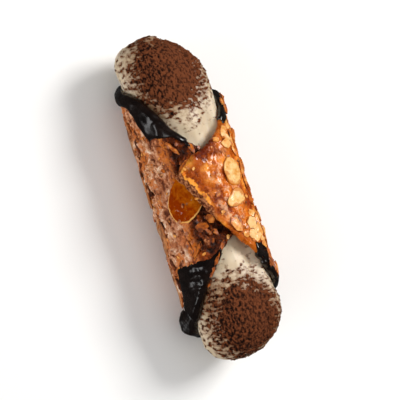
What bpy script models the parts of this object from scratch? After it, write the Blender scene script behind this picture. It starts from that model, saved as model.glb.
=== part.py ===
"""A cannolo: one sheet of almond wafer rolled into a tube, filled with cream and dipped in dark chocolate.

Lengths are in metres. +X runs along the roll, +Z is up, and the roll lies on its chocolate feet at z = 0.
A place on the rolled sheet is given by x and by its wrap angle in degrees. The wrap is 0 along the underside.
It grows up the +Y side and over the top, to the free corner of the flap that laps over. It falls below zero
up the -Y side, to the edge that lies hidden under the flap. The top of the roll is at wrap 180 and -180.
"""

import math

import bmesh
import bpy
from mathutils import Vector, noise

# Driving sizes of the rolled wafer
TUBE_RADIUS = 0.0154
WAFER_THICKNESS = 0.0020
AXIS_HEIGHT = 0.0187
AXIS_Y = 0.00055
HIDDEN_EDGE_WRAP = -200
FLAP_CORNER_WRAP = 218
FLAP_LIFT = 0.0038
FLAP_LIFT_STARTS = 85
FLAP_LIFT_ENDS = 185
LUMP_HEIGHT = 0.00018
LUMP_SPACING = 0.006
RIM_CRINKLE = 0.0006
RIM_CRINKLE_DEG = 11
RIM_SHARE = 0.45
RIM_BEVEL = 0.0007
TORN_BEVEL = 0.0046
TORN_FROM, TORN_TO = 192, 206

# How far the flat sheet reaches from the middle of the roll towards each end, as (wrap, reach)
REACH = {
    -1: ((-200, 0.0140), (-180, 0.0165), (-154, 0.0240), (-125, 0.0365), (-104, 0.0415), (-60, 0.0455),
         (0, 0.0475), (60, 0.0415), (90, 0.0362), (116, 0.0322), (143, 0.0262), (162, 0.0203), (180, 0.0170),
         (204, 0.0130), (218, 0.0095)),
    1: ((-200, 0.0150), (-180, 0.0175), (-150, 0.0250), (-114, 0.0375), (-92, 0.0425), (-60, 0.0465),
        (0, 0.0495), (60, 0.0440), (90, 0.0395), (112, 0.0368), (137, 0.0330), (157, 0.0248), (173, 0.0180),
        (188, 0.0110), (203, 0.0015), (218, -0.0080)),
}

# The filling, which swells where it leaves the wafer
NOSE = {-1: 0.0601, 1: 0.0605}
DOME_STARTS = 0.0430
DOME_STARTS_EARLIER = {-1: 0.0065, 1: 0.0}
SWELL = 0.0013
SWELL_RUN = 0.0070
SWELL_CLEAR = 0.0022
WEDGE_STARTS = 22
WEDGE_RUN = 14
DOME_POWER = {-1: 2.5, 1: 2.15}
DOME_LEAN = {-1: -0.0020, 1: -0.0010}
DOME_SLANT = {-1: 0.17, 1: 0.07}
DOME_SAG = 0.0004

# The dipped chocolate: how deep each end went in, and the wraps between which the dip is at its deepest
COAT = 0.0012
COAT_THINS_DEG = 120
BARE_END_DIP = 0.0045
DIP_LINE = {-1: 0.0235, 1: 0.0215}
DIP_EASE = 13
DIP_LOBE = 0.0016
DIP_LOBE_DEG = 17
DEEP_DIPS = {-1: ((-176, -105), (126, 164)), 1: ((-176, -87), (126, 172))}
COAT_FROM = -166
COAT_TO = {-1: 150, 1: 158}
HOOK = 0.0010
BEAD = {-1: (-92, 12, 0.0006, 0.0), 1: (-68, 12, 0.0024, 0.0045)}
FOOT_SPREAD = 0.0012
FOOT_DEG = 34

ALMOND_THICKNESS = 0.0008
GAP = 0.00034

# Sliced almonds: x, wrap, turn of the pointed end from +X in degrees, half-length and half-width
ALMONDS = {
    "almond_slice_under_flap": (-0.0024, -146, 214, 0.0116, 0.0066),
    "almond_slice_on_flap": (-0.0056, 158, 172, 0.0056, 0.0044),
    "almond_slice_flap_middle": (0.0040, 164, 76, 0.0050, 0.0032),
    "almond_slice_front_left": (-0.0280, -70, 6, 0.0092, 0.0056),
    "almond_slice_front_middle": (-0.0085, -66, 168, 0.0085, 0.0054),
    "almond_slice_front_right": (0.0100, -80, 12, 0.0082, 0.0052),
    "almond_slice_front_low": (0.0280, -66, 174, 0.0084, 0.0054),
    "almond_slice_back_left": (-0.0200, 100, 35, 0.0092, 0.0056),
    "almond_slice_back_middle": (0.0010, 92, 158, 0.0096, 0.0058),
    "almond_slice_back_right": (0.0180, 108, 15, 0.0080, 0.0052),
    "almond_slice_back_low": (0.0230, 55, 120, 0.0090, 0.0055),
    "almond_slice_low_left": (-0.0260, 50, 170, 0.0094, 0.0057),
}

# Mesh steps
WRAP_STEP = 8
WAFER_ROWS = 18
CREAM_SIDES = 32
CREAM_STEP = 0.0040
ALMOND_SIDES = 16


def smoothstep(value):
    """0 below 0, 1 above 1 and an even S between."""
    value = min(1.0, max(0.0, value))
    return value * value * (3 - 2 * value)


def curve_through(points, at):
    """The height at one place of a smooth curve through (place, height) points."""
    last = len(points) - 2
    k = next((i for i in range(last) if at < points[i + 1][0]), last)
    (a, low), (b, high) = points[k], points[k + 1]
    before, after = points[max(k - 1, 0)], points[min(k + 2, last + 1)]
    slope_a = (high - before[1]) / (b - before[0])
    slope_b = (after[1] - low) / (after[0] - a)
    t = min(1.0, max(0.0, (at - a) / (b - a)))
    return (
        low * (1 + 2 * t) * (1 - t) ** 2
        + high * t * t * (3 - 2 * t)
        + (b - a) * (slope_a * t * (1 - t) ** 2 - slope_b * t * t * (1 - t))
    )


def flap_lift(wrap):
    """How far the sheet stands off the former: the flap climbs over the edge and the almond beneath it."""
    return FLAP_LIFT * smoothstep((wrap - FLAP_LIFT_STARTS) / (FLAP_LIFT_ENDS - FLAP_LIFT_STARTS))


def reach(end, wrap):
    """The distance from the roll's middle to the sheet's rim at one end, with its crinkles."""
    crinkle = noise.noise(Vector((wrap / RIM_CRINKLE_DEG, 5.0 * end, 0.0)))
    return curve_through(REACH[end], wrap) + RIM_CRINKLE * crinkle


def rolled(x, wrap, radius):
    """The point at this x, wrap and distance from the axis, kept above the surface that the roll lies on."""
    angle = math.radians(wrap)
    z = AXIS_HEIGHT - radius * math.cos(angle)
    return Vector((x, AXIS_Y + radius * math.sin(angle), max(z, 0.0)))


def wraps_between(start, stop):
    """Evenly spaced wraps that include both ends."""
    steps = max(1, round((stop - start) / WRAP_STEP))
    return [start + (stop - start) * k / steps for k in range(steps + 1)]


def make_object(name, mesh, material):
    """Closes the bmesh's account: triangles, outward faces, smooth shading and a linked object."""
    bmesh.ops.triangulate(mesh, faces=mesh.faces)
    bmesh.ops.recalc_face_normals(mesh, faces=mesh.faces)
    data = bpy.data.meshes.new(name)
    mesh.to_mesh(data)
    mesh.free()
    data.materials.append(material)
    data.shade_smooth()
    data.set_sharp_from_angle(angle=math.radians(50))
    made = bpy.data.objects.new(name, data)
    bpy.context.scene.collection.objects.link(made)
    return made


def make_material(name, colour, roughness, coat=0.0):
    """A Principled material with a plain colour."""
    material = bpy.data.materials.new(name)
    material.use_nodes = True
    shader = material.node_tree.nodes["Principled BSDF"]
    shader.inputs["Base Color"].default_value = (*colour, 1.0)
    shader.inputs["Roughness"].default_value = roughness
    shader.inputs["Metallic"].default_value = 0.0
    shader.inputs["Coat Weight"].default_value = coat
    return material


def loft(mesh, rings, closed_loop):
    """Joins rings of vertices to their neighbours. The rings come back round when closed_loop is set."""
    pairs = list(zip(rings, rings[1:]))
    if closed_loop:
        pairs.append((rings[-1], rings[0]))
    for ring, following in pairs:
        count = len(ring)
        for k in range(count):
            mesh.faces.new((ring[k], ring[(k + 1) % count], following[(k + 1) % count], following[k]))


def make_wafer(material):
    """The rolled sheet. Each ring runs out along its outer face and back along its inner one."""
    mesh = bmesh.new()
    rings = []
    for wrap in wraps_between(HIDDEN_EDGE_WRAP, FLAP_CORNER_WRAP):
        low, high = -reach(-1, wrap), reach(1, wrap)
        inner = TUBE_RADIUS + flap_lift(wrap)
        torn = smoothstep((wrap - TORN_FROM) / (TORN_TO - TORN_FROM))
        face_low = low + min(RIM_BEVEL, 0.2 * (high - low))
        face_high = high - min(RIM_BEVEL + TORN_BEVEL * torn, 0.6 * (high - low))
        rows = WAFER_ROWS - 2
        stations = [low, *(face_low + (face_high - face_low) * k / rows for k in range(rows + 1)), high]
        ring = []
        for x in stations:
            place = Vector((x, TUBE_RADIUS * math.radians(wrap), 0.0)) / LUMP_SPACING
            share = RIM_SHARE if x in (low, high) else 1.0
            outer = inner + share * WAFER_THICKNESS + LUMP_HEIGHT * noise.noise(place)
            ring.append(mesh.verts.new(rolled(x, wrap, outer)))
        for x in reversed(stations):
            ring.append(mesh.verts.new(rolled(x, wrap, inner)))
        rings.append(ring)
    loft(mesh, rings, closed_loop=False)
    for ring in (rings[0], rings[-1]):
        for k in range(WAFER_ROWS):
            mesh.faces.new((ring[k], ring[k + 1], ring[-k - 2], ring[-k - 1]))
    return make_object("shell", mesh, material)


def cream_limit(end, top_angle):
    """Where the wafer over this side of the cream ends. The angle is from the top, positive towards +Y."""
    limits = []
    if -180 - top_angle >= HIDDEN_EDGE_WRAP:
        limits.append(reach(end, -180 - top_angle))
    if 180 - top_angle <= FLAP_CORNER_WRAP:
        limits.append(reach(end, 180 - top_angle))
    return max(limits)


def cream_radius(x, top_angle):
    """The filling's size: it fills the tube and the wedge under the flap, swells past the rim and rounds off."""
    end = 1 if x > 0 else -1
    wedge = smoothstep((top_angle - WEDGE_STARTS) / WEDGE_RUN) * flap_lift(180 - top_angle)
    past = abs(x) - cream_limit(end, top_angle) - SWELL_CLEAR
    earlier = DOME_STARTS_EARLIER[end] * smoothstep(math.sin(math.radians(top_angle)))
    swell = max(0.0, SWELL - 0.2 * earlier) * smoothstep(past / SWELL_RUN)
    starts = DOME_STARTS - earlier
    beyond = max(0.0, abs(x) - starts) / (NOSE[end] - starts)
    power = DOME_POWER[end]
    return (TUBE_RADIUS - GAP + wedge + swell) * max(0.0, 1 - beyond**power) ** (1 / power)


def cream_stations():
    """Even steps along the tube, then steps that shorten towards each nose."""
    tube = round(2 * DOME_STARTS / CREAM_STEP)
    straight = [DOME_STARTS * (2 * k / tube - 1) for k in range(1, tube)]
    turns = [math.radians(a) for a in (0, 16, 32, 47, 61, 73, 83)]
    left, right = (
        [end * (DOME_STARTS + (NOSE[end] - DOME_STARTS) * math.sin(turn)) for turn in turns]
        for end in (-1, 1)
    )
    return left[::-1] + straight + right


def make_cream(material):
    """The filling, from nose to nose right through the roll."""
    mesh = bmesh.new()
    rings = []
    for x in cream_stations():
        end = 1 if x > 0 else -1
        leaning = smoothstep((abs(x) - DOME_STARTS) / (NOSE[end] - DOME_STARTS))
        ring = []
        for k in range(CREAM_SIDES):
            angle = math.radians(360 * k / CREAM_SIDES - 180)
            radius = cream_radius(x, math.degrees(angle))
            aside = radius * math.sin(angle)
            ring.append(mesh.verts.new((
                x - end * DOME_SLANT[end] * leaning * aside,
                AXIS_Y + aside + DOME_LEAN[end] * leaning,
                AXIS_HEIGHT + radius * math.cos(angle) - DOME_SAG * leaning,
            )))
        rings.append(ring)
    loft(mesh, rings, closed_loop=False)
    for end, ring in ((-1, rings[0]), (1, rings[-1])):
        nose = mesh.verts.new((end * NOSE[end], AXIS_Y + DOME_LEAN[end], AXIS_HEIGHT - DOME_SAG))
        for k in range(CREAM_SIDES):
            mesh.faces.new((ring[k], ring[(k + 1) % CREAM_SIDES], nose))
    return make_object("cream", mesh, material)


def dip_edge(end, wrap):
    """How far from the roll's middle the chocolate starts."""
    rim = reach(end, wrap)
    deep = max(
        smoothstep((wrap - start) / DIP_EASE) * smoothstep((stop - wrap) / DIP_EASE)
        for start, stop in DEEP_DIPS[end]
    )
    shallow = rim - BARE_END_DIP
    lobe = DIP_LOBE * noise.noise(Vector((wrap / DIP_LOBE_DEG, 3.0 * end, 7.0)))
    return min(shallow + (DIP_LINE[end] - shallow) * deep + lobe, rim - 0.5 * BARE_END_DIP)


def make_chocolate(name, end, material):
    """The coat on one end: a band on the wafer's outer face that hooks over the rim."""
    mesh = bmesh.new()
    rings = []
    bead_wrap, bead_width, bead_height, bead_run = BEAD[end]
    for wrap in wraps_between(COAT_FROM, COAT_TO[end]):
        lump = math.exp(-(((wrap - bead_wrap) / bead_width) ** 2))
        bead = bead_height * lump
        rim, start = reach(end, wrap), dip_edge(end, wrap) - bead_run * lump
        face = TUBE_RADIUS + flap_lift(wrap) + WAFER_THICKNESS + LUMP_HEIGHT + GAP
        lip = TUBE_RADIUS + flap_lift(wrap) + GAP
        foot = FOOT_SPREAD * math.exp(-((wrap / FOOT_DEG) ** 2))
        thins = 0.30 + (COAT_TO[end] - wrap) / COAT_THINS_DEG
        thick = COAT * min(1.0, 0.45 + (wrap - COAT_FROM) / 30, thins) + foot
        run = rim - start
        section = (
            (start, face),
            (start + 0.12 * run, face + 0.75 * thick + 0.4 * bead),
            (start + 0.50 * run, face + thick + bead),
            (rim - 0.0006, face + thick + 0.7 * bead),
            (rim + GAP + HOOK, face - 0.2 * thick + 0.3 * bead),
            (rim + GAP + HOOK, lip),
            (rim + GAP, lip),
            (rim + GAP, face),
        )
        rings.append([mesh.verts.new(rolled(end * x, wrap, radius)) for x, radius in section])
    loft(mesh, rings, closed_loop=False)
    for ring in (rings[0], rings[-1]):
        mesh.faces.new(ring)
    return make_object(name, mesh, material)


def make_almond(name, x, wrap, turn, half_length, half_width, material):
    """A thin slice laid on the wafer's outer face and bent to it, pointed at one end."""
    mesh = bmesh.new()
    turn = math.radians(turn)
    rest = TUBE_RADIUS + flap_lift(wrap) + WAFER_THICKNESS

    def place(share, k, height):
        around = math.tau * k / ALMOND_SIDES
        along = share * half_length * math.cos(around)
        across = share * half_width * math.sin(around) * (1 - 0.2 * math.cos(around))
        out_x = along * math.cos(turn) - across * math.sin(turn)
        out_wrap = math.degrees((along * math.sin(turn) + across * math.cos(turn)) / rest)
        at = wrap + out_wrap
        face = TUBE_RADIUS + flap_lift(at) + WAFER_THICKNESS + LUMP_HEIGHT + GAP
        return rolled(x + out_x, at, face + height)

    layers = []
    for height, shares in ((0.0, (0.5, 0.94)), (ALMOND_THICKNESS, (1.0, 0.55))):
        for share in shares:
            layers.append([mesh.verts.new(place(share, k, height)) for k in range(ALMOND_SIDES)])
    loft(mesh, layers, closed_loop=False)
    for ring, height in ((layers[0], 0.0), (layers[-1], ALMOND_THICKNESS)):
        middle = mesh.verts.new(place(0.0, 0, height))
        for k in range(ALMOND_SIDES):
            mesh.faces.new((ring[k], ring[(k + 1) % ALMOND_SIDES], middle))
    return make_object(name, mesh, material)


def main():
    for leftover in list(bpy.data.objects):
        bpy.data.objects.remove(leftover)
    wafer = make_material("baked_wafer", (0.47, 0.19, 0.06), 0.55)
    cream = make_material("whipped_cream", (0.76, 0.67, 0.50), 0.50)
    chocolate = make_material("dark_chocolate", (0.022, 0.012, 0.009), 0.22)
    almond = make_material("toasted_almond", (0.58, 0.27, 0.06), 0.30, coat=0.5)
    objects = [
        make_wafer(wafer),
        make_cream(cream),
        make_chocolate("chocolate_dip_left", -1, chocolate),
        make_chocolate("chocolate_dip_right", 1, chocolate),
    ]
    for name, sizes in ALMONDS.items():
        objects.append(make_almond(name, *sizes, almond))


main()
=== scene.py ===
import math
import random
from types import SimpleNamespace

import bmesh
import bpy
import numpy as np
from mathutils import Matrix, Vector, noise
from mathutils.bvhtree import BVHTree


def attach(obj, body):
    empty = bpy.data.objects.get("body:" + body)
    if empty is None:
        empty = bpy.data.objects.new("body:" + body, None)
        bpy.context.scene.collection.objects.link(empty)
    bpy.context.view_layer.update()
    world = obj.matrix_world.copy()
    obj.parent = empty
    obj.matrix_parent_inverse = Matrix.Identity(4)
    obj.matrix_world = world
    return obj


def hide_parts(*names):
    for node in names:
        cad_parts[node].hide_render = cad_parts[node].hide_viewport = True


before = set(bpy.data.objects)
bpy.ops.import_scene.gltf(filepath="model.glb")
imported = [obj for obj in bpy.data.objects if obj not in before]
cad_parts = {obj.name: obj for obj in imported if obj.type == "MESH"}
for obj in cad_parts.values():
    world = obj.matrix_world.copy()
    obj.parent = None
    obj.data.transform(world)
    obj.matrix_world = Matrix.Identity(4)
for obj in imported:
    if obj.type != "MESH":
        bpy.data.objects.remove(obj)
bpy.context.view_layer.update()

# ---- Rolled wafer ----
# One round sheet of chopped almonds and caramel, baked flat and rolled while hot round a tube. It is about
# 2 mm thick and full of nut chips. The caramel has run over the flap and the top, and dried dull in front.
WAFER_VOXEL = 0.00048
# Where the roll's axis passes, along X
ROLL_Y = 0.00055
ROLL_Z = 0.0187
# The middle of a small hollow left of the flap's tip, how far it and its soft edge reach, and its depth.
# The hollow is also painted near black, as the shade inside it
HOLLOW = (-0.0160, -0.0091, 0.0331)
HOLLOW_REACH = (0.0009, 0.0024)
HOLLOW_DEPTH = 0.0011
# The middle of the pale bloom on the front, and how far it and its soft edge reach
BLOOM = (-0.0010, -0.0153, 0.0263)
BLOOM_REACH = (0.003, 0.013)
# How much closer together crumbs and flecks lie along each axis
DRAWN_OUT = (0.75, 0.95, 0.95)
WAFER_SIZES = {
    "Nut Chip": 0.0040, "Nut Relief": 0.00075, "Crumb": 0.0030, "Crumb Relief": 0.0040,
    "Swell": 0.007, "Swell Relief": 0.0012,
}
# Baked caramel, each from dark to pale: dried in front, run clear, pooled by the seam, and torn across. The
# torn one is also darkened with painted shade, as the torn face lies in shadow
DULL_CARAMEL = (
    (0.33, (0.10, 0.025, 0.010)), (0.41, (0.34, 0.110, 0.045)), (0.49, (0.52, 0.215, 0.100)),
    (0.57, (0.69, 0.37, 0.22)), (0.66, (0.89, 0.64, 0.46)),
)
CLEAR_CARAMEL = (
    (0.39, (0.25, 0.026, 0.0008)), (0.46, (0.56, 0.110, 0.003)), (0.53, (0.80, 0.205, 0.010)),
    (0.61, (0.98, 0.36, 0.045)),
)
SEAM_CARAMEL = ((0.42, (0.012, 0.003, 0.0015)), (0.52, (0.085, 0.014, 0.002)), (0.62, (0.30, 0.052, 0.003)))
TORN_CARAMEL_AND_SHADE = ((0.42, (0.05, 0.009, 0.002)), (0.50, (0.21, 0.050, 0.013)), (0.60, (0.54, 0.22, 0.085)))
DEEP_AMBER = ((0.10, 0.006, 0.0003), (0.41, 0.066, 0.0015))
RUSTY = ((0.22, 0.040, 0.010), (0.62, 0.18, 0.050))
BARE_ORANGE = ((0.78, 0.17, 0.008), (0.98, 0.37, 0.045))
# Deep amber painted round the shards on the flap's shoulders, as their shadows
SHARD_SHADOW_AMBER = (0.50, 0.105, 0.004)
ORANGE_CHIP = (0.60, 0.155, 0.016)
BROWN = (0.40, 0.105, 0.028)
# Dark brown painted into the pits of the dull front, as shade
PIT_SHADE = (0.15, 0.036, 0.014)
FROST = (0.88, 0.55, 0.33)
SEAM_RIDGE = (0.60, 0.15, 0.012)
# Near black painted into the small hollow, as the shade inside it
HOLLOW_SHADE = (0.014, 0.004, 0.002)


class Wire:
    """A value inside a node tree. Python's operators on it add Math nodes, so a pattern reads as a sum."""

    def __init__(self, tree, socket):
        self.tree = tree
        self.socket = socket

    def maths(self, operation, *others):
        values = dict(enumerate((self, *others)))
        return self.tree.node("ShaderNodeMath", {"operation": operation}, values)

    def __add__(self, other):
        return self.maths("ADD", other)

    def __sub__(self, other):
        return self.maths("SUBTRACT", other)

    def __rsub__(self, other):
        return self.maths("MULTIPLY_ADD", -1.0, other)

    def __mul__(self, other):
        return self.maths("MULTIPLY", other)

    def __truediv__(self, other):
        return self.maths("DIVIDE", other)

    def __rtruediv__(self, other):
        return self.maths("POWER", -1.0) * other

    def __pow__(self, other):
        return self.maths("POWER", other)

    __radd__ = __add__
    __rmul__ = __mul__

    def at_least(self, other):
        return self.maths("MAXIMUM", other)

    def step(self, low, high):
        """0 where the value is under low, 1 over high, and smooth between them."""
        return self.tree.node(
            "ShaderNodeMapRange",
            {"interpolation_type": "SMOOTHSTEP"},
            {"Value": self, "From Min": low, "From Max": high},
        )


class Recipe:
    """A node tree, of a material or of geometry, that is written as expressions on its wires."""

    def __init__(self, tree):
        self.tree = tree

    def node(self, kind, settings=None, values=None, out=0):
        """Adds a node: settings first, then its sockets' values or links. Gives the wire of one output."""
        made = self.tree.nodes.new(kind)
        for name, setting in (settings or {}).items():
            if name == "stops":
                ramp = made.color_ramp.elements
                while len(ramp) < len(setting):
                    ramp.new(0.5)
                for element, (place, colour) in zip(ramp, setting):
                    element.position = place
                    element.color = (*colour, 1.0)
            else:
                setattr(made, name, setting)
        for socket, value in (values or {}).items():
            if isinstance(value, Wire):
                self.tree.links.new(value.socket, made.inputs[socket])
            else:
                made.inputs[socket].default_value = value
        return Wire(self, made.outputs[out])

    def vector(self, operation, *values, out=0):
        return self.node("ShaderNodeVectorMath", {"operation": operation}, dict(enumerate(values)), out)

    def noise(self, place, size, detail=2.0, rough=0.5, warp=0.0, out=0):
        values = {"Vector": place, "Scale": 1 / size, "Detail": detail, "Roughness": rough}
        return self.node("ShaderNodeTexNoise", None, {**values, "Distortion": warp}, out)

    def mix(self, share, low, high):
        """The colour that is low where share is 0 and high where it is 1."""
        low, high = ((*c, 1.0) if isinstance(c, tuple) else c for c in (low, high))
        return self.node("ShaderNodeMix", {"data_type": "RGBA"}, {0: share, 6: low, 7: high}, 2)

    def ramp(self, share, *stops):
        return self.node("ShaderNodeValToRGB", {"stops": stops}, {0: share})

    def apart(self, place):
        """The three parts of a vector."""
        made = self.node("ShaderNodeSeparateXYZ", None, {0: place}).socket.node
        return [Wire(self, socket) for socket in made.outputs]


def new_finish(name, **sockets):
    """A material with a Principled shader, its constant sockets set, as (material, recipe, shader)."""
    material = bpy.data.materials.new(name)
    material.use_nodes = True
    recipe = Recipe(material.node_tree)
    shader = material.node_tree.nodes["Principled BSDF"]
    for socket, value in sockets.items():
        shader.inputs[socket.replace("_", " ")].default_value = value
    return material, recipe, shader


def finish_with(recipe, shader, height=None, depth=0.0002, **sockets):
    """Links wires to the shader's sockets, and a height wire to its normal through a Bump node."""
    for socket, wire in sockets.items():
        recipe.tree.links.new(wire.socket, shader.inputs[socket.replace("_", " ")])
    if height is not None:
        bump = recipe.node("ShaderNodeBump", None, {"Height": height, "Distance": depth, "Strength": 1.0})
        recipe.tree.links.new(bump.socket, shader.inputs["Normal"])


def new_growth(name, sizes):
    """A Geometry Nodes tree with a geometry input and one for each named size, a whole number where it is
    one, as (tree, recipe, wires by name)."""
    tree = bpy.data.node_groups.new(name, "GeometryNodeTree")
    tree.interface.new_socket("Geometry", in_out="OUTPUT", socket_type="NodeSocketGeometry")
    tree.interface.new_socket("Geometry", in_out="INPUT", socket_type="NodeSocketGeometry")
    for size, value in sizes.items():
        kind = "NodeSocketInt" if isinstance(value, int) else "NodeSocketFloat"
        tree.interface.new_socket(size, in_out="INPUT", socket_type=kind)
    recipe = Recipe(tree)
    enter = tree.nodes.new("NodeGroupInput")
    wires = {socket.name: Wire(recipe, socket) for socket in enter.outputs if socket.name}
    return tree, recipe, wires


def end_growth(recipe, geometry, material):
    """Ends a tree with its instances made real, smooth faces and the piece's material."""
    real = recipe.node("GeometryNodeRealizeInstances", None, {0: geometry})
    smooth = recipe.node("GeometryNodeSetShadeSmooth", None, {"Geometry": real})
    painted = recipe.node("GeometryNodeSetMaterial", None, {"Geometry": smooth, "Material": material})
    leave = recipe.tree.nodes.new("NodeGroupOutput")
    recipe.tree.links.new(painted.socket, leave.inputs[0])


def grow(piece, tree, sizes):
    """Runs a tree on a piece with the named sizes, and keeps the result as the piece's plain mesh."""
    modifier = piece.modifiers.new(tree.name, "NODES")
    modifier.node_group = tree
    for socket in tree.interface.items_tree:
        if socket.in_out == "INPUT" and socket.name in sizes:
            modifier[socket.identifier] = sizes[socket.name]
    bake(piece)


def bake(piece):
    """Replaces a piece's mesh with what its modifiers make of it."""
    bpy.context.view_layer.update()
    evaluated = piece.evaluated_get(bpy.context.evaluated_depsgraph_get())
    made = bpy.data.meshes.new_from_object(evaluated)
    piece.modifiers.clear()
    piece.data = made


def put(name, data):
    """A new object with this data, in the scene."""
    made = bpy.data.objects.new(name, data)
    bpy.context.scene.collection.objects.link(made)
    return made


def merged(node, name, to_quads=False):
    """A CAD node's mesh with its loose triangles joined, and made quads again where that is asked."""
    mesh = bmesh.new()
    mesh.from_mesh(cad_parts[node].data)
    bmesh.ops.remove_doubles(mesh, verts=mesh.verts, dist=1e-6)
    if to_quads:
        bmesh.ops.join_triangles(mesh, faces=mesh.faces,
                                 angle_face_threshold=1.0, angle_shape_threshold=1.5)
    data = bpy.data.meshes.new(name)
    mesh.to_mesh(data)
    mesh.free()
    return data


def copy_of(node, name, voxel, rounds=3):
    """A new piece with a CAD node's shape, rebuilt as small even faces and smoothed in so many rounds."""
    piece = put(name, merged(node, name))
    remesh = piece.modifiers.new("even", "REMESH")
    remesh.mode = "VOXEL"
    remesh.voxel_size = voxel
    soften = piece.modifiers.new("soften", "SMOOTH")
    soften.factor = 0.5
    soften.iterations = rounds
    bake(piece)
    return piece


def settle(piece, slot, *nodes):
    """Fixes a finished piece to the cannolo and hides the CAD nodes it stands for. Its slot is not used."""
    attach(piece, "root")
    if nodes:
        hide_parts(*nodes)


def roll_place(recipe, place):
    """The place's way along the roll, its angle from the top in degrees (+ towards +Y) and its radius."""
    x, y, z = recipe.apart(place)
    aside, above = y - ROLL_Y, z - ROLL_Z
    angle = aside.maths("ARCTAN2", above) * math.degrees(1)
    radius = (aside * aside + above * above) ** 0.5
    return x, angle, radius


def glaze_share(recipe, place):
    """1 where the caramel has run clear and shiny, on the flap and over the top, and 0 where it is dull."""
    _, angle, radius = roll_place(recipe, place)
    wander = (recipe.noise(place, 0.006) - 0.5) * 26
    over_top = (angle + wander).step(-8, 8)
    on_flap = (radius + wander * 0.00002).step(0.0187, 0.0197)
    back = 1 - (angle + wander).step(95, 130)
    return over_top.at_least(on_flap) * back


def torn_share(recipe, place):
    """Two shares: 1 on the face where the flap's free edge tore, from the tip up the right-hand side, and 1
    on the strips of bare orange caramel just above it and on the other side of the tip."""
    x, angle, radius = roll_place(recipe, place)
    wander = (recipe.noise(place, 0.0030, 3, 0.65) - 0.5) * 0.0090
    border = x - angle * (0.026 / 38) - 0.018 + wander
    on_flap = (radius - 0.0178).step(0.0, 0.0006)
    near_tip = 1 - angle.step(-14, -9)
    face = border.step(-0.0062, -0.0055)
    strip = border.step(-0.0088, -0.0076) * (1 - face) * near_tip
    far_side = 1 - (x + angle * 0.0002 + 0.017 + wander * 0.3).step(0.0008, 0.0030)
    far_side = far_side * (1 - angle.step(-22, -13))
    return face * on_flap * near_tip, strip.at_least(far_side * 0.7) * on_flap


def hollow_share(recipe, place):
    """1 in the small hollow that opened in the caramel to the left of the flap's tip."""
    return 1 - recipe.vector("DISTANCE", place, HOLLOW, out="Value").step(*HOLLOW_REACH)


def clear_of(recipe, *nodes):
    """0 where the surface lies against one of these CAD nodes, rising to 1 a little way off."""
    free = 1.0
    for node in nodes:
        info = recipe.node("GeometryNodeObjectInfo", None, {"Object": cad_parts[node]}, "Geometry")
        gap = recipe.node("GeometryNodeProximity", None, {0: info}, "Distance")
        free = gap.step(0.0005, 0.0018) * free
    return free


def build_wafer_growth(material):
    """Relief on the wafer: tilted plates of nut, drawn-out crumbs between them, and slow swells."""
    tree, r, size = new_growth("wafer relief", WAFER_SIZES)
    place = r.node("GeometryNodeInputPosition")
    normal = r.node("GeometryNodeInputNormal")
    smooth = glaze_share(r, place)

    plates = r.node("ShaderNodeTexVoronoi", None, {"Vector": place, "Scale": 1 / size["Nut Chip"]})
    tone, centre = (Wire(r, plates.socket.node.outputs[name]) for name in ("Color", "Position"))
    lean = r.vector("SUBTRACT", tone, (0.5, 0.5, 0.5))
    from_centre = r.vector("SUBTRACT", place, centre)
    slope = r.vector("DOT_PRODUCT", lean, from_centre, out="Value") / size["Nut Chip"]
    chips = ((r.apart(tone)[0] - 0.5) * 0.9 + slope * 1.6) * size["Nut Relief"]
    drawn = r.vector("MULTIPLY", place, DRAWN_OUT)
    crumbs = (r.noise(drawn, size["Crumb"], 3, 0.65) - 0.5) * size["Crumb Relief"]
    swell = (r.noise(place, size["Swell"]) - 0.5) * size["Swell Relief"]
    height = swell * (1 + smooth * 0.6) + chips * (1 - smooth * 0.6) + crumbs * (1 - smooth * 0.55)
    free = clear_of(r, "chocolate_dip_left", "chocolate_dip_right")
    shift = scaled(r, normal, height * free - hollow_share(r, place) * HOLLOW_DEPTH)
    moved = r.node("GeometryNodeSetPosition", None, {"Geometry": size["Geometry"], "Offset": shift})
    kept = store(r, moved, "relief", crumbs / size["Crumb Relief"] + chips / size["Nut Relief"] * 0.3)
    kept = store(r, kept, "tone", r.apart(tone)[1])
    end_growth(r, kept, material)
    return tree


def scaled(recipe, vector, length):
    """A vector made this many times as long."""
    return recipe.node("ShaderNodeVectorMath", {"operation": "SCALE"}, {0: vector, "Scale": length})


def store(recipe, geometry, name, value, domain="POINT"):
    """Keeps a value on the mesh under a name, for the material to read."""
    settings = {"data_type": "FLOAT", "domain": domain}
    values = {"Geometry": geometry, "Name": name, "Value": value}
    return recipe.node("GeometryNodeStoreNamedAttribute", settings, values)


def stored(recipe, name):
    """The value that the mesh keeps under this name."""
    return recipe.node("ShaderNodeAttribute", {"attribute_name": name}, out="Fac")


def wafer_marks(r):
    """What the finish varies with: where a spot lies, its relief and tone, and noises of four sizes."""
    place = r.node("ShaderNodeTexCoord", out="Object")
    drawn = r.vector("MULTIPLY", place, DRAWN_OUT)
    x, angle, radius = roll_place(r, place)
    return SimpleNamespace(
        place=place, x=x, angle=angle, radius=radius,
        relief=stored(r, "relief"), tone=stored(r, "tone"),
        pool=r.noise(place, 0.0065, 3, 0.55),
        patch=r.noise(drawn, 0.0030, 4, 0.62),
        fleck=r.noise(drawn, 0.0016, 4, 0.65),
        grain=r.noise(place, 0.0010, 3, 0.65),
    )


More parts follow.
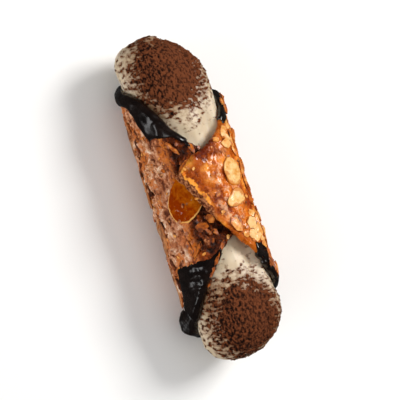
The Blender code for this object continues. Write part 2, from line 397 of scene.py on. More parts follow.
def dull_colour(r, marks):
    """Caramel dried in front: pink-brown with painted shade in its pits, brown patches, orange chips and a
    pale bloom.
    """
    bloom = 1 - r.vector("DISTANCE", marks.place, BLOOM, out="Value").step(*BLOOM_REACH)
    # Painted light and shade: raised relief is coloured lighter and low relief darker
    shade = marks.patch * 0.80 + marks.fleck * 0.62 + marks.relief * 0.40 + (marks.grain - 0.5) * 0.45
    colour = r.ramp(shade + bloom * 0.04 - 0.222, *DULL_CARAMEL)
    colour = r.mix((marks.pool * 0.6 + marks.fleck * 0.4).step(0.50, 0.58) * 0.58, colour, BROWN)
    colour = r.mix(marks.tone.step(0.72, 0.80) * marks.fleck.step(0.44, 0.52) * 0.75, colour, ORANGE_CHIP)
    by_notch = (marks.angle + (marks.pool - 0.5) * 60).step(-66, -50)
    by_notch = by_notch * (marks.x - 0.001).maths("ABSOLUTE").step(0.007, 0.013)
    colour = r.mix(by_notch * 0.65, colour, r.mix(marks.fleck.step(0.42, 0.58), *RUSTY))
    # Painted shade: the deepest pits are coloured dark brown
    return r.mix((1 - marks.relief.step(-0.30, -0.16)) * 0.7, colour, PIT_SHADE)


def clear_colour(r, marks):
    """Caramel run clear over the top: orange, frosted in the flap's middle, deep amber low on the flap."""
    shade = marks.pool * 0.72 + marks.patch * 0.15 + marks.fleck * 0.10 + (marks.grain - 0.5) * 0.16 + 0.01
    colour = r.ramp(shade, *CLEAR_CARAMEL)
    from_middle = ((marks.x + 0.001) / 0.0145) ** 2.0 + ((marks.angle - 9) / 18) ** 2.0
    frost = (marks.patch * 0.6 + (marks.fleck - 0.5) * 0.7 + 0.22).step(0.50, 0.64)
    colour = r.mix(frost * (1 - from_middle.step(0.6, 1.5)) * 0.74, colour, FROST)
    # Painted shadow: deep amber round the shards at the flap's shoulders
    shard_shadow = ((marks.x - 0.001).maths("ABSOLUTE") - 0.0115).step(0.0, 0.003)
    shard_shadow = shard_shadow * marks.angle.step(-10, 2) * (1 - marks.angle.step(45, 60))
    colour = r.mix(shard_shadow * 0.65, colour, SHARD_SHADOW_AMBER)
    left = 1 - marks.x.step(-0.0145, -0.0085)
    low = 1 - (marks.angle + (marks.pool - 0.5) * 45 - left * 13).step(-11, 5)
    deep = r.mix((marks.pool * 0.6 + marks.fleck * 0.4).step(0.43, 0.58), *DEEP_AMBER)
    return r.mix(low * 0.92, colour, deep)


def seam_shares(marks):
    """Two shares: 1 in the dark caramel pooled by the seam, and 1 on the bright ridge in front of it."""
    wavy = marks.angle + (marks.patch - 0.5) * 30
    pooled = wavy.step(-50, -38) * (1 - marks.radius.step(0.0185, 0.0194)) * (1 - marks.angle.step(2, 12))
    ridge = 1 - ((wavy + 46) / 7).maths("ABSOLUTE").step(0.3, 1.0)
    return pooled, ridge * marks.patch.step(0.45, 0.52)


def wafer_finish():
    """Baked caramel: dull pink-brown and pitted in front, clear orange to deep amber where it has run."""
    material, r, shader = new_finish("baked_wafer", Subsurface_Weight=0.06, Subsurface_Scale=0.002,
                                     Subsurface_Radius=(1.0, 0.35, 0.1), Specular_IOR_Level=0.20,
                                     Coat_Roughness=0.07)
    marks = wafer_marks(r)
    shiny = glaze_share(r, marks.place)
    pooled, ridge = seam_shares(marks)
    torn, bare = torn_share(r, marks.place)
    colour = r.mix(shiny, dull_colour(r, marks), clear_colour(r, marks))
    colour = r.mix(pooled, colour, r.ramp(marks.patch * 0.7 + marks.grain * 0.3, *SEAM_CARAMEL))
    colour = r.mix(ridge * 0.8, colour, SEAM_RIDGE)
    # Painted shade: the small hollow is coloured near black
    colour = r.mix(hollow_share(r, marks.place), colour, HOLLOW_SHADE)
    colour = r.mix(bare, colour, r.mix(marks.patch.step(0.36, 0.49), *BARE_ORANGE))
    # The torn face: crumbly caramel, darkened further with painted shade
    colour = r.mix(torn, colour, r.ramp(marks.grain * 0.7 + marks.patch * 0.3, *TORN_CARAMEL_AND_SHADE))

    gloss = shiny.at_least(pooled) * (1 - torn)
    fine = r.noise(marks.place, 0.0005, 2)
    finish_with(r, shader, marks.grain + fine * 0.3 + marks.fleck * 1.2 * (1 - gloss * 0.5), 0.00045,
                Base_Color=colour,
                Roughness=0.58 - gloss * 0.28 + (marks.grain - 0.5) * 0.3,
                Coat_Weight=gloss * marks.pool.step(0.42, 0.60) * (0.7 - pooled * 0.35))
    return material


wafer = copy_of("shell", "wafer", WAFER_VOXEL)
grow(wafer, build_wafer_growth(wafer_finish()), WAFER_SIZES)
settle(wafer, "wafer", "shell")

# ---- Cream ----
# Sweet whipped ricotta, piped through the roll so that it swells past both rims and rounds off in a dome.
# It is smooth and soft, with shallow waves from the piping bag and a short lifted point at one nose.
CREAM_VOXEL = 0.00045
# Where the short point was lifted, how far round it the cream gave, and which way
CREAM_TIP = (-0.0600, -0.0030, 0.0245)
CREAM_TIP_REACH = 0.0075
CREAM_TIP_DRAW = (-0.0016, 0.0004, 0.0010)
CREAM_SIZES = {"Wave": 0.009, "Wave Relief": 0.0007, "Wrinkle": 0.0030, "Wrinkle Relief": 0.0007}
IVORY = ((0.63, 0.51, 0.35), (0.73, 0.61, 0.455))
DUSTED = (0.33, 0.19, 0.095)
STAINED = (0.22, 0.095, 0.042)
# How much closer together waves, wrinkles and cocoa clumps lie along each axis
WAVES_DRAWN = (0.6, 1.0, 1.0)
WRINKLES_DRAWN = (1.4, 0.7, 0.7)
CLUMPS_DRAWN = (1.5, 0.75, 0.7)
# The middle and reach of each dome's dusting of cocoa, and of the film that slid off it towards the notch
COCOA_HEART = {-1: (-0.0472, -0.0012, 0.0340), 1: (0.0475, -0.0010, 0.0340)}
COCOA_REACH = (0.0235, 0.0205, 0.0300)
FILM_HEART = {-1: (-0.0380, -0.0097, 0.0309), 1: (0.0370, -0.0105, 0.0303)}
FILM_REACH = (0.0100, 0.0080, 0.0090)


def away_from(recipe, place, hearts, reach):
    """How far a place is from the nearer heart, as a share of the reach."""
    shares = []
    for heart in hearts.values():
        away = recipe.vector("DIVIDE", recipe.vector("SUBTRACT", place, heart), reach)
        shares.append(recipe.vector("LENGTH", away, out="Value"))
    return shares[0].maths("MINIMUM", shares[1])


def cocoa_cover(recipe, place):
    """How surely the cocoa covers a spot, over 0 where it does, and how much fine dust lies on the cream.
    The cover is full in the heart of each dusting, then in clumps drawn out down the sides."""
    far = away_from(recipe, place, COCOA_HEART, COCOA_REACH).at_least(0.2)
    film = 1 - away_from(recipe, place, FILM_HEART, FILM_REACH).step(0.4, 1.25)
    clump = recipe.noise(recipe.vector("MULTIPLY", place, CLUMPS_DRAWN), 0.0018, 3, 0.66)
    cover = far ** -1.3 * 0.38 + (clump - 0.5) * 2.8 - 0.68 + film * 0.08 - far.step(0.72, 1.10) * 0.18
    return cover, (1 - far.step(0.40, 1.05)).at_least(film)


def build_cream_growth(material):
    """Relief on the cream: slow waves from the piping, and small wrinkles drawn down the domes' sides."""
    tree, r, size = new_growth("cream relief", CREAM_SIZES)
    place = r.node("GeometryNodeInputPosition")
    normal = r.node("GeometryNodeInputNormal")
    long_place = r.vector("MULTIPLY", place, WAVES_DRAWN)
    wave = (r.noise(long_place, size["Wave"], 1) - 0.5) * size["Wave Relief"]
    slid = r.vector("MULTIPLY", place, WRINKLES_DRAWN)
    on_dome = r.apart(place)[0].maths("ABSOLUTE").step(0.030, 0.040)
    wrinkle = (r.noise(slid, size["Wrinkle"], 2) - 0.5) * size["Wrinkle Relief"] * on_dome
    from_tip = r.vector("DISTANCE", place, CREAM_TIP, out="Value")
    lifted = scaled(r, CREAM_TIP_DRAW, 1 - from_tip.step(0.0, CREAM_TIP_REACH))
    shift = r.vector("ADD", scaled(r, normal, wave + wrinkle), lifted)
    moved = r.node("GeometryNodeSetPosition", None, {"Geometry": size["Geometry"], "Offset": shift})
    cover, dust = cocoa_cover(r, place)
    kept = store(r, moved, "cocoa", cover)
    kept = store(r, kept, "dust", dust)
    end_growth(r, kept, material)
    return tree


def cream_finish():
    """Ivory cream with a soft sheen, stained tan round the cocoa clumps."""
    material, r, shader = new_finish("whipped_cream", Subsurface_Weight=0.4, Subsurface_Scale=0.003,
                                     Subsurface_Radius=(1.0, 0.75, 0.5))
    place = r.node("ShaderNodeTexCoord", out="Object")
    cocoa = stored(r, "cocoa")
    dust = stored(r, "dust")
    patch = r.noise(place, 0.010, 2)
    fine = r.noise(place, 0.0011, 3, 0.65)
    colour = r.mix(patch.step(0.35, 0.65), *IVORY)
    colour = r.mix((dust * 1.3 * (fine + 0.1)).step(0.0, 0.9), colour, DUSTED)
    stain = (cocoa + (fine - 0.5) * 0.5).step(-0.36, 0.04)
    finish_with(r, shader, r.noise(place, 0.0016, 2) * 0.4 + fine * 0.15, 0.0003,
                Base_Color=r.mix(stain * 0.80, colour, STAINED), Roughness=0.42 + fine * 0.1)
    return material


cream = copy_of("cream", "cream_filling", CREAM_VOXEL)
grow(cream, build_cream_growth(cream_finish()), CREAM_SIZES)
settle(cream, "cream", "cream")

# ---- Dark chocolate ----
# Each end of the rolled wafer was dipped in melted dark chocolate before it was filled. The chocolate set
# thick and glossy round the V and the rim, with a ridged lump where it ran, and flat where it met the tray.
CHOCOLATE_VOXEL = 0.00040
CHOCOLATE_ROUNDS = 9
CHOCOLATE_SIZES = {"Fold": 0.0075, "Fold Relief": 0.0018, "Sink": 0.00045}
DARK_CHOCOLATE = ((0.35, (0.0030, 0.0015, 0.0012)), (0.7, (0.010, 0.0050, 0.0036)))
# The lump's middle, how far it and its soft edge reach, and how wide its ridges and the ribs above it are
LUMP = (0.0437, -0.0185, 0.0170)
LUMP_REACH = (0.0050, 0.0078)
LUMP_RIDGE = 0.0016
RIB = 0.0031


def lump_ridges(recipe, place):
    """Tight ridges, from -1 to 1, that wrap the lump at the right-hand rim, and 0 elsewhere."""
    x, _, z = recipe.apart(place)
    lump = recipe.vector("DISTANCE", place, LUMP, out="Value")
    waves = (z - x * 0.45 + recipe.noise(place, 0.004) * 0.0015) * (math.tau / LUMP_RIDGE)
    return waves.maths("SINE") * (1 - lump.step(*LUMP_REACH))


def build_chocolate_growth(material):
    """Sinks the coat against the wafer and gives it slow folds, ribs above the lump and ridges on it."""
    tree, r, size = new_growth("chocolate relief", CHOCOLATE_SIZES)
    place = r.node("GeometryNodeInputPosition")
    normal = r.node("GeometryNodeInputNormal")
    x, y, z = r.apart(place)
    out = r.vector("NORMALIZE", r.node("ShaderNodeCombineXYZ", None, {1: y - ROLL_Y, 2: z - ROLL_Z}))
    fold = (r.noise(place, size["Fold"], 1, 0.5, 0.6) - 0.5) * size["Fold Relief"]
    ribs = ((x + r.noise(place, 0.005) * 0.004) * (math.tau / RIB)).maths("SINE")
    ribbed = x.step(0.018, 0.022) * (1 - x.step(0.034, 0.038)) * z.step(0.020, 0.026)
    height = fold + lump_ridges(r, place) * 0.00015 + ribs * ribbed * 0.00016
    floor = z.step(0.0004, 0.0020)
    shift = r.vector("ADD", scaled(r, normal, height * floor), scaled(r, out, size["Sink"] * -1.0 * floor))
    moved = r.node("GeometryNodeSetPosition", None, {"Geometry": size["Geometry"], "Offset": shift})
    end_growth(r, moved, material)
    return tree


def chocolate_finish():
    """Set dark chocolate: near black, glossy, a little cloudy where it cooled slowly."""
    material, r, shader = new_finish("dark_chocolate", Specular_IOR_Level=0.45)
    place = r.node("ShaderNodeTexCoord", out="Object")
    cloud = r.noise(place, 0.005, 3, 0.6)
    finish_with(r, shader, r.noise(place, 0.0026, 1) * 0.25 + lump_ridges(r, place) * 0.5, 0.0002,
                Base_Color=r.ramp(cloud, *DARK_CHOCOLATE), Roughness=0.18 + cloud.step(0.4, 0.8) * 0.16)
    return material


chocolate_growth = build_chocolate_growth(chocolate_finish())
dips = []
for side in ("left", "right"):
    dip = copy_of("chocolate_dip_" + side, "chocolate_" + side, CHOCOLATE_VOXEL, CHOCOLATE_ROUNDS)
    grow(dip, chocolate_growth, CHOCOLATE_SIZES)
    settle(dip, "chocolate", "chocolate_dip_" + side)
    dips.append(dip)

# ---- Almond slices ----
# Whole slices of almond, cut thin and baked into the caramel. Those on the flap are pale and toasted. The
# large one that the flap covers lies in a pool of caramel and is deep amber with a thin light rim. Those at
# the back are golden, and the rest are browned.
HEART_STOPS = (0.36, 0.50, 0.66)
CREPT_CARAMEL = (0.62, 0.17, 0.010)
# The heart of each kind from dark to pale, its cut rim, how rough it is, how much caramel has crept over
# it, and whether it lies under clear caramel
ALMOND_LOOKS = {
    "amber": {
        "heart": ((0.23, 0.026, 0.0006), (0.42, 0.095, 0.002), (0.66, 0.28, 0.022)),
        "rim": (0.76, 0.38, 0.10), "rough": 0.12, "creep": 0.0, "clear": 1.0,
    },
    "pale": {
        "heart": ((0.72, 0.30, 0.05), (0.88, 0.54, 0.20), (0.95, 0.70, 0.36)),
        "rim": (0.60, 0.17, 0.012), "rough": 0.30, "creep": 0.8, "clear": 0.0,
    },
    "golden": {
        "heart": ((0.50, 0.17, 0.025), (0.72, 0.34, 0.09), (0.86, 0.54, 0.24)),
        "rim": (0.46, 0.12, 0.010), "rough": 0.32, "creep": 0.6, "clear": 0.0,
    },
    "baked": {
        "heart": ((0.14, 0.034, 0.010), (0.40, 0.15, 0.050), (0.62, 0.34, 0.17)),
        "rim": (0.30, 0.080, 0.016), "rough": 0.45, "creep": 0.45, "clear": 0.0,
    },
}
# How deep each kind is pressed in, and how ragged its outline is
ALMOND_BEDS = {
    "amber": (0.00045, 0.06), "pale": (0.00045, 0.16), "golden": (0.00055, 0.20), "baked": (0.00070, 0.22),
}
KIND_OF_SLICE = {
    "almond_slice_under_flap": "amber",
    "almond_slice_on_flap": "pale",
    "almond_slice_flap_middle": "pale",
    "almond_slice_back_left": "golden",
    "almond_slice_back_middle": "golden",
    "almond_slice_back_right": "golden",
}


def slice_finish(name, heart, rim, rough, creep, clear):
    """A sliced almond in caramel. Clear caramel over it turns from gold to deep amber down the slice."""
    material, r, shader = new_finish(name, Subsurface_Weight=0.08, Subsurface_Scale=0.0015,
                                     Subsurface_Radius=(1.0, 0.4, 0.1), Coat_Roughness=0.05,
                                     Specular_IOR_Level=0.2 * (1 - clear))
    place = r.node("ShaderNodeTexCoord", out="Object")
    edge = stored(r, "edge")
    patch = r.noise(place, 0.0040, 3, 0.6)
    grain = r.noise(place, 0.0010, 3, 0.6)
    x, angle, _ = roll_place(r, place)
    upward = (angle * 0.006 - x * 9 + 0.16).at_least(-0.15)
    mottle = (patch * 0.8 + grain * 0.2 - 0.5) * (1 - clear * 0.35) + 0.5
    colour = r.ramp(mottle + upward * clear, *zip(HEART_STOPS, heart))
    crept = ((patch - 0.5) * 1.6 + (edge - 0.74) * 0.5).step(0.02, 0.14) * creep
    colour = r.mix(crept, colour, CREPT_CARAMEL)
    colour = r.mix((edge + (grain - 0.5) * 0.12).step(0.92 + clear * 0.03, 1.0), colour, rim)
    coat = grain.step(0.59, 0.65) * 0.8 if clear else patch.step(0.4, 0.6) * 0.4
    finish_with(r, shader, grain * 0.8 + patch, 0.00030, Base_Color=colour, Roughness=grain * 0.15 + rough,
                Coat_Weight=coat)
    return material


def make_slice(node, material, sink, ragged):
    """A slice from its CAD node: back to quads, rounded, made ragged and pressed into the caramel."""
    piece = put(node + "_toasted", merged(node, node, to_quads=True))
    rounder = piece.modifiers.new("round", "SUBSURF")
    rounder.levels = rounder.render_levels = 3
    bake(piece)
    co = np.zeros(len(piece.data.vertices) * 3)
    piece.data.vertices.foreach_get("co", co)
    co = co.reshape(-1, 3)
    centre = co.mean(axis=0)
    ways = np.linalg.eigh(np.cov((co - centre).T))[1]
    flat = (co - centre) @ ways[:, 1:]
    edge = np.sqrt(((flat / np.abs(flat).max(axis=0)) ** 2).sum(axis=1))
    bite = np.array([noise.noise(Vector(p) / 0.0045) + 0.5 * noise.noise(Vector(p) / 0.0018) for p in co])
    co += (co - centre) * (ragged * bite * edge)[:, None]
    out = (co - [0.0, ROLL_Y, ROLL_Z]) * [0, 1, 1]
    out /= np.linalg.norm(out, axis=1)[:, None]
    wobble = np.array([noise.noise(Vector(p) / 0.0060 + Vector((7, 0, 0))) for p in co])
    co -= out * (sink * (1 - wobble))[:, None]
    piece.data.vertices.foreach_set("co", co.ravel())
    layer = piece.data.attributes.new("edge", "FLOAT", "POINT")
    layer.data.foreach_set("value", edge.astype(np.float32))
    piece.data.materials.append(material)
    piece.data.shade_smooth()
    return piece


finishes = {kind: slice_finish(kind + "_almond", **looks) for kind, looks in ALMOND_LOOKS.items()}
for node in sorted(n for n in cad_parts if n.startswith("almond_slice")):
    kind = KIND_OF_SLICE.get(node, "baked")
    settle(make_slice(node, finishes[kind], *ALMOND_BEDS[kind]), "almond", node)

# ---- Nut chips ----
# Broken almond, stirred into the batter and baked into the wafer. Shards crowd both shoulders of the flap,
# lie in the caramel beside the seam and stick to the chocolate at the back. Small crumbs are everywhere.
CHIP_SEED = 4
# A chip is laid where a line that starts this far out and runs this far in meets the food, and stands
# proud of it by this share of its half-width
RAY_START = 0.03
RAY_LENGTH = 0.02
CHIP_PROUD = 0.15
# Single shards: x in mm, degrees from the top, half-length and half-width in mm, turn and tilt in degrees,
# and tone, from 0 for burnt to 1 for pale
SHARDS = (
    (14.0, 25, 2.5, 2.3, 80, 16, 0.84), (13.7, 40, 2.6, 1.2, -8, 20, 0.52),
    (17.5, 39, 3.2, 1.0, 16, 22, 0.62), (20.2, 36, 2.8, 0.9, 26, 22, 0.76),
    (21.8, 42, 2.2, 0.9, 20, 18, 0.56), (18.0, 22, 2.0, 1.6, 30, 18, 0.80),
    (19.9, 27, 1.7, 1.3, -30, 18, 0.80), (17.4, 14, 1.5, 1.2, 60, 14, 0.58),
    (13.0, 6, 3.4, 1.6, 24, 8, 0.50), (16.6, 31, 1.7, 1.2, -20, 20, 0.80),
    (10.8, 33, 1.6, 1.1, 20, 14, 0.66), (22.9, 35, 1.8, 0.9, 24, 16, 0.50),
    (-15.7, 24, 2.3, 1.9, 70, 16, 0.70), (-19.5, 24, 1.7, 1.2, -40, 16, 0.70),
    (-20.9, 28, 1.5, 1.1, 20, 18, 0.64), (-20.6, 35, 2.6, 0.9, -25, 20, 0.58),
    (-16.0, 37, 3.0, 0.9, -14, 18, 0.54), (-12.4, 36, 2.0, 0.9, 10, 16, 0.50),
    (-22.2, 40, 2.0, 0.9, 6, 14, 0.60), (-17.9, 13, 1.5, 1.0, 50, 14, 0.55),
    (-17.6, 31, 1.5, 1.0, 10, 18, 0.70), (-3.2, 41, 5.2, 1.0, 4, 12, 0.48),
    (-17.6, -13, 2.4, 1.1, 14, 24, 0.36), (-19.4, -34, 3.2, 1.0, 36, 34, 0.44),
    (-12.4, -27, 3.4, 1.2, -52, 6, 0.36), (8.4, -16, 1.9, 1.4, 20, 14, 0.36),
    (10.3, -29, 2.6, 1.9, 75, 10, 0.26), (13.5, -15, 1.3, 0.9, 20, 20, 0.38),
    (12.3, -23, 1.3, 0.9, 50, 18, 0.26), (14.6, -27, 1.2, 0.7, 15, 20, 0.20),
    (16.0, -21, 1.1, 0.7, -30, 20, 0.24), (17.6, -41, 3.4, 0.8, -40, 30, 0.44),
    (16.4, -51, 2.8, 0.9, 5, 8, 0.38), (19.0, -13, 2.4, 0.8, -38, 16, 0.26),
    (22.8, -23, 2.6, 0.8, -38, 16, 0.28), (26.8, -33, 2.4, 0.7, -38, 16, 0.26),
    (30.2, -42, 1.8, 0.6, -38, 16, 0.28), (5.6, -83, 1.6, 0.9, 8, 10, 0.02),
    (4.8, -90, 3.8, 1.4, 4, 10, 0.40), (-8.0, -92, 3.0, 1.4, -3, 10, 0.14),
    (-24.0, -87, 2.4, 1.1, 4, 16, 0.24), (-31.0, -90, 2.2, 1.0, -6, 16, 0.36),
    (-16.5, -95, 2.2, 1.0, 8, 16, 0.30), (12.5, -92, 2.4, 1.0, -6, 16, 0.22),
    (20.5, -90, 2.2, 1.1, 6, 16, 0.34), (28.0, -88, 2.6, 1.1, 3, 16, 0.20),
    (-32.0, 43, 2.8, 0.8, -6, 16, 0.30), (-30.3, 52, 2.2, 0.8, 10, 14, 0.46),
    (-33.2, 50, 2.2, 1.0, -8, 12, 0.38), (-31.6, 66, 1.8, 0.9, 15, 14, 0.34),
    (-31.5, 60, 2.6, 0.9, -4, 10, 0.42), (-28.2, 56, 2.2, 0.8, 6, 14, 0.40),
    (26.5, 40, 2.4, 0.8, 8, 20, 0.34), (29.5, 37, 2.2, 0.8, -4, 20, 0.30),
    (31.0, 45, 2.8, 0.9, 6, 20, 0.36), (34.0, 41, 2.2, 0.8, 12, 20, 0.32),
    (36.5, 45, 2.2, 0.8, -6, 20, 0.38), (27.6, 52, 2.6, 0.8, 4, 18, 0.40),
    (33.0, 55, 2.8, 0.9, -5, 18, 0.42), (37.6, 52, 2.0, 0.9, 8, 18, 0.34),
    (30.6, 60, 2.2, 0.9, -8, 14, 0.30), (12.0, 62, 3.0, 1.2, 5, 14, 0.50),
    (19.0, 60, 2.6, 1.1, -8, 14, 0.54), (4.0, 66, 2.6, 1.1, 6, 14, 0.40),
    (-7.0, 64, 2.8, 1.0, -6, 14, 0.46), (-18.0, 62, 3.0, 1.2, 8, 14, 0.52),
    (47.6, -84, 1.3, 0.8, 20, 20, 0.44), (49.4, -70, 1.8, 1.0, -25, 20, 0.00),
)
# Crumbs are laid at random between these two ends of the wafer
CRUMB_COUNT = 520
CRUMB_SIZE = 0.00042
CRUMB_ENDS = (-0.043, 0.045)
SHARD_SIZES = {"Warp": 0.0018, "Warp Relief": 0.0019}
CRUMB_SIZES = {"Warp": 0.0008, "Warp Relief": 0.0004}
TOASTED_NUT = (
    (0.0, (0.010, 0.004, 0.003)), (0.22, (0.17, 0.038, 0.010)), (0.42, (0.56, 0.130, 0.006)),
    (0.60, (0.85, 0.37, 0.070)), (0.84, (0.93, 0.58, 0.24)),
)


def lay_chip(points, skin, x, angle, long, wide, turn, tilt, tone):
    """Sets one chip down on the food's skin, at this x and at this angle round the roll's axis."""
    out = Vector((0, math.sin(math.radians(angle)), math.cos(math.radians(angle))))
    hit, normal, _, _ = skin.ray_cast(Vector((x, ROLL_Y, ROLL_Z)) + out * RAY_START, -out, RAY_LENGTH)
    if hit is not None:
        lies = (normal + 2 * out).normalized()
        angles = (math.radians(turn), math.radians(tilt))
        points.append((hit + out * wide * CHIP_PROUD, lies, wide, long / wide, *angles, tone))


def strew(recipe, points, bit, stand, turn, scale):
    """The same bit on every point, each one stood up, turned about its own axes, and scaled."""
    turned = recipe.node("FunctionNodeRotateRotation", {"rotation_space": "LOCAL"},
                         {"Rotation": stand, "Rotate By": turn})
    return recipe.node("GeometryNodeInstanceOnPoints", None,
                       {"Points": points, "Instance": bit, "Rotation": turned, "Scale": scale})


def build_chip_growth(material):
    """Turns each point into a flat broken shard that leans on the wafer, each warped in its own way."""
    tree, r, size = new_growth("nut chips", SHARD_SIZES)

    def kept(name, kind="FLOAT"):
        return r.node("GeometryNodeInputNamedAttribute", {"data_type": kind}, {"Name": name})

    shard = r.node("GeometryNodeMeshCylinder", {"fill_type": "TRIANGLE_FAN"},
                   {"Vertices": 6, "Side Segments": 1, "Fill Segments": 2, "Radius": 1.0, "Depth": 0.7})
    rim = Wire(r, shard.socket.node.outputs["Side"])
    shard = store(r, shard, "rim", rim, "FACE")
    normal = kept("normal", "FLOAT_VECTOR")
    stand = r.node("FunctionNodeAlignRotationToVector", {"axis": "Z"}, {"Vector": normal})
    lean = r.node("ShaderNodeCombineXYZ", None, {0: kept("tilt"), 2: kept("turn")})
    width = kept("width")
    scale = r.node("ShaderNodeCombineXYZ", None, {0: width * kept("long"), 1: width, 2: width})
    shards = strew(r, size["Geometry"], shard, stand, lean, scale)
    real = r.node("GeometryNodeRealizeInstances", None, {0: shards})
    place = r.node("GeometryNodeInputPosition")
    bend = r.vector("SUBTRACT", r.noise(place, size["Warp"], 2, out="Color"), (0.5, 0.5, 0.5))
    shift = scaled(r, bend, size["Warp Relief"])
    warped = r.node("GeometryNodeSetPosition", None, {"Geometry": real, "Offset": shift})
    end_growth(r, warped, material)
    return tree


def chip_finish():
    """Chips from burnt brown through orange to pale toasted almond, under a thin coat of caramel."""
    material, r, shader = new_finish("nut_chips", Subsurface_Weight=0.10, Subsurface_Scale=0.0015,
                                     Subsurface_Radius=(1.0, 0.4, 0.1), Coat_Roughness=0.12)
    place = r.node("ShaderNodeTexCoord", out="Object")
    tone = stored(r, "tone")
    rim = stored(r, "rim")
    patch = r.noise(place, 0.0020, 3, 0.6)
    # Painted shade: each chip's broken sides are coloured darker than its faces
    shade = tone * (1 - rim * 0.38) + (patch - 0.5) * 0.9
    finish_with(r, shader, r.noise(place, 0.0008, 3), 0.00025, Base_Color=r.ramp(shade, *TOASTED_NUT),
                Roughness=0.30 + patch * 0.3, Coat_Weight=tone.step(0.1, 0.4) * 0.35)
    return material


def new_piece(name, verts, faces, material):
    """A piece from points and faces, shaded smooth."""
    data = bpy.data.meshes.new(name)
    data.from_pydata(verts, [], faces)
    if material:
        data.materials.append(material)
    data.shade_smooth()
    return put(name, data)


def make_chips(name, points, sizes):
    """The chips at these points, as one joined mesh."""
    piece = new_piece(name, [p[0] for p in points], [], None)
    fields = (("normal", "FLOAT_VECTOR", "vector"), ("width", "FLOAT", "value"), ("long", "FLOAT", "value"),
              ("turn", "FLOAT", "value"), ("tilt", "FLOAT", "value"), ("tone", "FLOAT", "value"))
    for index, (field, kind, entry) in enumerate(fields, start=1):
        layer = piece.data.attributes.new(field, kind, "POINT")
        for item, point in zip(layer.data, points):
            setattr(item, entry, point[index])
    grow(piece, chip_growth, sizes)
    piece.data.set_sharp_from_angle(angle=math.radians(40))
    settle(piece, "almond")


def skin_over(*pieces):
    """The outer surface of these pieces, to lay chips on."""
    points, faces = [], []
    for piece in pieces:
        first = len(points)
        points.extend(v.co for v in piece.data.vertices)
        faces.extend([first + i for i in p.vertices] for p in piece.data.polygons)
    return BVHTree.FromPolygons(points, faces)


chip_growth = build_chip_growth(chip_finish())
outer_skin = skin_over(wafer, *dips)
shards = []
for x, angle, long, wide, turn, tilt, tone in SHARDS:
    lay_chip(shards, outer_skin, x / 1000, angle, long / 1000, wide / 1000, turn, tilt, tone)
make_chips("nut_shards", shards, SHARD_SIZES)

picked = random.Random(CHIP_SEED)
wafer_skin = skin_over(wafer)
crumbs = []
for _ in range(CRUMB_COUNT):
    wide = CRUMB_SIZE * picked.uniform(0.6, 1.6)
    lay_chip(crumbs, wafer_skin, picked.uniform(*CRUMB_ENDS), picked.uniform(-180, 180), wide * 1.5, wide,
             picked.uniform(-90, 90), picked.uniform(-30, 30), picked.uniform(0.26, 0.60))
make_chips("nut_crumbs", crumbs, CRUMB_SIZES)

# ---- Cocoa ----
# Unsweetened cocoa powder, sieved over both domes. It lies as a thin rough layer that breaks up into clumps
# towards the rims, with coarser grains loose on top of it.
LAYER_SIZES = {"Thickness": 0.00026, "Roughness": 0.0016, "Pit": 0.0010}
LAYER_SINK = 0.00006
PITS_DRAWN = (0.75, 1.2, 1.2)
GRAIN_SIZES = {"Density": 3.0e6, "Grain": 0.00016, "Seed": 11}
COCOA_BROWN = ((0.10, (0.008, 0.003, 0.002)), (0.42, (0.062, 0.018, 0.0075)), (0.80, (0.165, 0.048, 0.018)))


def cocoa_finish():
    """Dry cocoa powder: red-brown where it is loose, with painted shade nearly black in its pits."""
    material, r, shader = new_finish("cocoa_powder", Specular_IOR_Level=0.1)
    place = r.node("ShaderNodeTexCoord", out="Object")
    tone = stored(r, "tone")
    fine = r.noise(place, 0.0005, 3, 0.7)
    colour = r.ramp(tone + (fine - 0.5) * 0.5, *COCOA_BROWN)
    finish_with(r, shader, fine, 0.00015, Base_Color=colour, Roughness=0.85 + fine * 0.1)
    return material


def build_layer_growth(material):
    """Lifts a fine copy of the cream's surface into a rough layer where cocoa lies, and drops the rest."""
    tree, r, size = new_growth("cocoa layer", LAYER_SIZES)
    fine = r.node("GeometryNodeSubdivideMesh", None, {"Mesh": size["Geometry"], "Level": 1})
    place = r.node("GeometryNodeInputPosition")
    normal = r.node("GeometryNodeInputNormal")
    cover, _ = cocoa_cover(r, place)
    rough = r.noise(r.vector("MULTIPLY", place, PITS_DRAWN), size["Pit"], 3, 0.7)
    lift = cover.step(-0.05, 0.20) * size["Thickness"] - LAYER_SINK
    lift = lift + (rough - 0.40) * cover.step(0.05, 0.5) * size["Roughness"]
    moved = r.node("GeometryNodeSetPosition", None, {"Geometry": fine, "Offset": scaled(r, normal, lift)})
    # Painted shade: the tone is darker in the layer's pits, and more so on the low side away from the
    # window; the +X dome is a little darker overall
    x, angle, _ = roll_place(r, place)
    low_side_shade = 1 - angle.step(-38, 4)
    darker = low_side_shade * 0.14 + x.step(-0.02, 0.02) * 0.10
    kept = store(r, moved, "tone", (rough - 0.5) * (low_side_shade * 1.8 + 3.0) + 0.71 - darker)
    bare = cover.maths("LESS_THAN", -0.10)
    layer = r.node("GeometryNodeDeleteGeometry", {"domain": "POINT"}, {"Geometry": kept, "Selection": bare})
    end_growth(r, layer, material)
    return tree


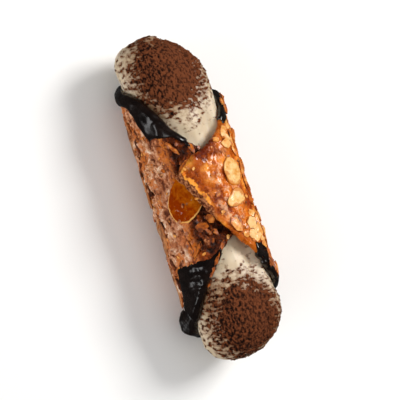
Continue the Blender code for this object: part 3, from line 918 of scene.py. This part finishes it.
def build_cocoa_growth(material):
    """Scatters rough grains on the cream where the cocoa covers it, and a few loose ones beyond."""
    tree, r, size = new_growth("cocoa grains", GRAIN_SIZES)
    place = r.node("GeometryNodeInputPosition")
    share = cocoa_cover(r, place)[0].step(-0.16, 0.25)
    points = r.node("GeometryNodeDistributePointsOnFaces", {"distribute_method": "RANDOM"},
                    {"Mesh": size["Geometry"], "Density": share * size["Density"], "Seed": size["Seed"]})
    stand = Wire(r, points.socket.node.outputs["Rotation"])
    ball = r.node("GeometryNodeMeshIcoSphere", None, {"Radius": 1.0, "Subdivisions": 1})
    width, long, tone = (
        r.node("FunctionNodeRandomValue", {"data_type": "FLOAT"}, {2: low, 3: high, "Seed": seed}, 1)
        for low, high, seed in ((0.55, 1.35, 3), (0.8, 1.9, 5), (0.25, 0.95, 7))
    )
    spin = r.node("FunctionNodeRandomValue", {"data_type": "FLOAT_VECTOR"},
                  {0: (-0.5, -0.5, -3.1), 1: (0.5, 0.5, 3.1), "Seed": 9}, 0)
    scale = r.node("ShaderNodeCombineXYZ", None, {0: width * long, 1: width, 2: width * 0.75})
    grains = strew(r, points, ball, stand, spin, scaled(r, scale, size["Grain"]))
    end_growth(r, store(r, grains, "tone", tone, "INSTANCE"), material)
    return tree


def cream_copy(name):
    """A new piece with the cream's surface, bare of its finish."""
    piece = put(name, cream.data.copy())
    piece.data.materials.clear()
    return piece


cocoa_powder = cocoa_finish()
layer = cream_copy("cocoa_layer")
grow(layer, build_layer_growth(cocoa_powder), LAYER_SIZES)
settle(layer, "cocoa")
grains = cream_copy("cocoa_grains")
grow(grains, build_cocoa_growth(cocoa_powder), GRAIN_SIZES)
settle(grains, "cocoa")

# ---- Table, light and camera ----
# A plain pale table, a soft window high on the +Y side, a low strip in front that the chocolate mirrors,
# and two wide lights that leave no reflection. A long lens looks down on the seam, with the roll slanting.
FLOOR_SIZE = 3.0
PALE_TABLE = ((0.90, 0.90, 0.90), (0.93, 0.93, 0.93))
AMBIENT = 0.06
LOOKED_AT = Vector((0.001, ROLL_Y, ROLL_Z))
VIEW_ELEVATION = math.radians(68.5)
ROLL_LEAN = math.radians(17.42)
VIEW_WIDTH = 0.146
LENS = 0.180
SENSOR = 0.036


def area_light(name, place, size, power, colour, mirrored):
    """A soft light of this width and height aimed at the cannolo. One that isn't mirrored lights the food
    but leaves no reflection on it."""
    lamp = bpy.data.lights.new(name, "AREA")
    lamp.shape = "RECTANGLE"
    lamp.size, lamp.size_y = size
    lamp.energy = power
    lamp.color = colour
    light = put(name, lamp)
    light.location = place
    light.visible_glossy = mirrored
    light.rotation_euler = (LOOKED_AT - Vector(place)).to_track_quat("-Z", "Y").to_euler()


table_finish, r, shader = new_finish("pale_table")
place = r.node("ShaderNodeTexCoord", out="Object")
finish_with(r, shader, Base_Color=r.mix(r.noise(place, 0.08), *PALE_TABLE),
            Roughness=0.55 + r.noise(place, 0.05) * 0.1)
half = FLOOR_SIZE / 2
table = new_piece("table", [(-half, -half, 0), (half, -half, 0), (half, half, 0), (-half, half, 0)],
                  [(0, 1, 2, 3)], table_finish)
table.visible_glossy = False

area_light("window", (-0.15, 0.50, 0.62), (0.32, 0.32), 5.6, (1.0, 0.98, 0.95), True)
area_light("strip", (0.10, -0.75, 0.16), (0.56, 0.17), 1.3, (1.0, 1.0, 1.0), True)
area_light("ceiling", (0.0, 0.0, 1.2), (1.2, 1.2), 5.4, (1.0, 1.0, 1.0), False)
area_light("front", (0.10, -0.70, 0.38), (0.60, 0.60), 2.7, (1.0, 0.99, 0.97), False)

world = bpy.data.worlds.new("studio")
bpy.context.scene.world = world
world.use_nodes = True
sky = world.node_tree.nodes["Background"]
sky.inputs["Color"].default_value = (1.0, 1.0, 1.0, 1.0)
sky.inputs["Strength"].default_value = AMBIENT
bpy.context.scene.view_settings.view_transform = "Standard"

lens = bpy.data.cameras.new("camera")
lens.lens = LENS * 1000
lens.sensor_width = SENSOR * 1000
lens.clip_start = 0.01
camera = put("camera", lens)
looks = Vector((0, math.cos(VIEW_ELEVATION), -math.sin(VIEW_ELEVATION)))
across = Vector((0, math.sin(VIEW_ELEVATION), math.cos(VIEW_ELEVATION)))
along = Vector((1, 0, 0))
right = along * math.sin(ROLL_LEAN) + across * math.cos(ROLL_LEAN)
up = across * math.sin(ROLL_LEAN) - along * math.cos(ROLL_LEAN)
distance = VIEW_WIDTH * LENS / SENSOR
turned = Matrix((right, up, -looks)).transposed().to_4x4()
camera.matrix_world = Matrix.Translation(LOOKED_AT - looks * distance) @ turned
bpy.context.scene.camera = camera
